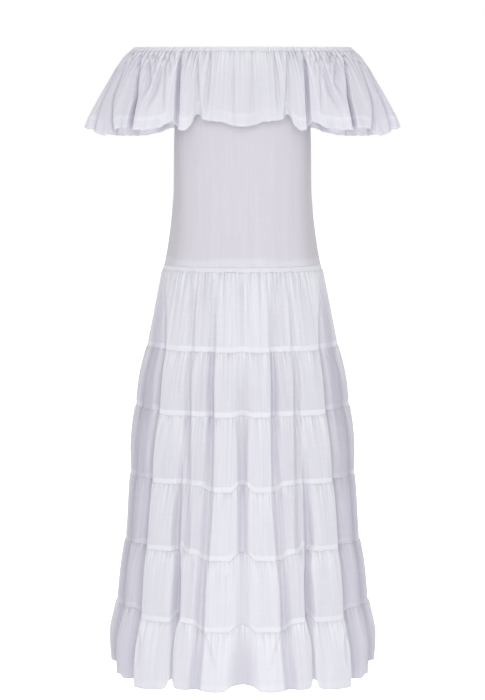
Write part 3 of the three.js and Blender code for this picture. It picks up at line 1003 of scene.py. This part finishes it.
def skirt_tier(tier, material):
    """One gathered tier. Its top is tucked behind the strip of the tier above."""
    columns, rows = 900, 30
    gathers_end, strip_start, strip_edge = 9 / rows, 25 / rows, 26 / rows
    overlap = 0.4  # of the strip over the next tier's seam
    middle, slack = SKIRT_EDGES[tier].depth + 65, 1.25
    length, angle_at = even_loop(BODY_OVALS, SKIRT_FOLDS, middle, columns)
    is_last = tier == len(TIERS) - 1

    def shape(u, v):
        angle = angle_at(u)
        along = (u - 0.5) * length
        top = skirt_edge(tier, angle) - SEAM_TUCK
        bottom = skirt_edge(tier + 1, angle) + overlap
        strip_top = bottom - STRIP - STRIP_EASE
        body_share = np.interp(v, [0, gathers_end, strip_start], [0, 0.2, 1])
        strip_share = np.interp(v, [strip_start, strip_edge, 1], [0, 0.15, 1])
        depth = top + (strip_top - top) * body_share + (bottom - strip_top) * strip_share
        below, above = depth - top - SEAM_TUCK, bottom - depth
        strip = 0 if is_last else smooth_step(above, STRIP + STRIP_EASE, STRIP - STRIP_EASE)
        relief = tier_relief(tier, along, length, depth, below) * (1 - 0.6 * strip)
        share = np.clip((depth - top) / (bottom - top), 0, 1)
        puff = TIERS[tier].puff * np.sin(np.pi * share**0.7)
        tucked = 0.85 * smooth_step(below, 0.5, -0.8)
        folded = fold_depth(SKIRT_FOLDS, depth, angle)
        inward = folded + relief - puff + tucked - 0.25 * strip
        x, y = oval_point(BODY_OVALS, depth, angle, inward)
        hem = 0.1 * smooth_step(above, 14, 12) if is_last else 0.4 * strip
        # Where its strip doesn't stay white at the centre, the strip takes the centre fold's painted
        # shade.
        if not TIERS[tier].strip_at_centre:
            hem = hem * smooth_step(np.abs(angle), 3, 9)
        white = tier_white_and_painted_shade(tier, angle, depth, below, folded, hem)
        tight = np.maximum(fade(below, 26 if tier else 60), 0.24 - 0.04 * tier)
        return x, y, depth, white, tight * (1 - strip)

    name = f"tier_{tier + 1}_cloth"
    start = 1500 + 200 * tier
    piece = cloth(name, columns, rows, shape, (length * slack, 150), start, True)
    node, flat = f"skirt_tier_{tier + 1}", TIERS[tier].flat
    declare(piece, node, material)
    return name


def make_dress():
    # Each cotton runs from its first colour, for single cloth and the deepest painted shade, to its
    # second, for doubled cloth and painted light.
    white = cotton("white_cotton", (0.58, 0.565, 0.64), (0.92, 0.92, 0.963), crinkle=0.6)
    sheer = cotton("single_cotton", (0.64, 0.61, 0.65), (0.89, 0.88, 0.94), crinkle=0.35)
    neck_casing(white)
    flounce(white)
    bodice_panel("bodice_front_cloth", "bodice_front", 0, sheer)
    bodice_panel("bodice_back_cloth", "bodice_back", 180, sheer)
    hip_band(white)
    above_piece = "hip_band_cloth"
    for tier in range(len(TIERS)):
        above_piece = skirt_tier(tier, white)


def floor_white():
    """Matt white that glows, so that the floor is as pale as the room behind it."""
    nodes = Nodes(bpy.data.materials.new("floor_white"))
    finish = {
        "Base Color": (0.8, 0.8, 0.8, 1),
        "Roughness": 0.9,
        "Emission Color": (1, 1, 1, 1),
        "Emission Strength": 0.9,
    }
    surface = nodes.add("ShaderNodeBsdfPrincipled", {}, finish)
    nodes.add("ShaderNodeOutputMaterial", {}, {"Surface": surface})
    return nodes.owner


def make_floor():
    """A pale floor a little under the hem, because the dress is held up."""
    half_size, below_hem = 20, 0.12
    bm = bmesh.new()
    bmesh.ops.create_grid(bm, x_segments=1, y_segments=1, size=half_size)
    bmesh.ops.translate(bm, verts=bm.verts, vec=(0, 0, cad_box[0][2] - below_hem))
    mesh = bpy.data.meshes.new("floor")
    bm.to_mesh(mesh)
    bm.free()
    floor = bpy.data.objects.new("floor", mesh)
    mesh.materials.append(floor_white())
    bpy.context.scene.collection.objects.link(floor)
    floor.visible_diffuse = False


def area_light(name, place, target, size, power):
    """A flat soft light of so many watts that faces a target."""
    data = bpy.data.lights.new(name, "AREA")
    data.shape = "RECTANGLE"
    data.size, data.size_y = size
    data.energy = power
    light = bpy.data.objects.new(name, data)
    light.location = place
    aim = [t - p for t, p in zip(target, place)]
    flat_distance = math.hypot(aim[0], aim[1])
    light.rotation_euler = (math.atan2(flat_distance, -aim[2]), 0, math.atan2(-aim[0], aim[1]))
    bpy.context.scene.collection.objects.link(light)


def make_lights():
    """A big soft light in front, a low one under it, one from behind on each side, and one at the
    back, in a white room."""
    middle = (0, 0, -0.6)
    area_light("front_light", (0, -3.6, 0.1), middle, (2.2, 2.4), 67)
    area_light("low_light", (0, -3.4, -1.4), middle, (2.4, 0.8), 8)
    area_light("left_light", (-3.4, 1.8, 0), middle, (1.6, 2.4), 30)
    area_light("right_light", (3.4, 1.8, 0), middle, (1.6, 2.4), 30)
    area_light("back_light", (0, 3.6, 0.1), middle, (2.2, 2.4), 44)
    white = (1, 1, 1, 1)
    room = Nodes(bpy.data.worlds.new("white_room"))
    seen = room.add("ShaderNodeLightPath", {}, {}, output="Is Camera Ray")
    lit = room.add("ShaderNodeBackground", {}, {"Color": white, "Strength": 0.6})
    backdrop = room.add("ShaderNodeBackground", {}, {"Color": white})
    mixed = room.add("ShaderNodeMixShader", {}, {0: seen, 1: lit, 2: backdrop})
    room.add("ShaderNodeOutputWorld", {}, {"Surface": mixed})
    bpy.context.scene.world = room.owner
    bpy.context.scene.view_settings.view_transform = "Standard"


make_camera()
make_dress()
make_floor()
make_lights()
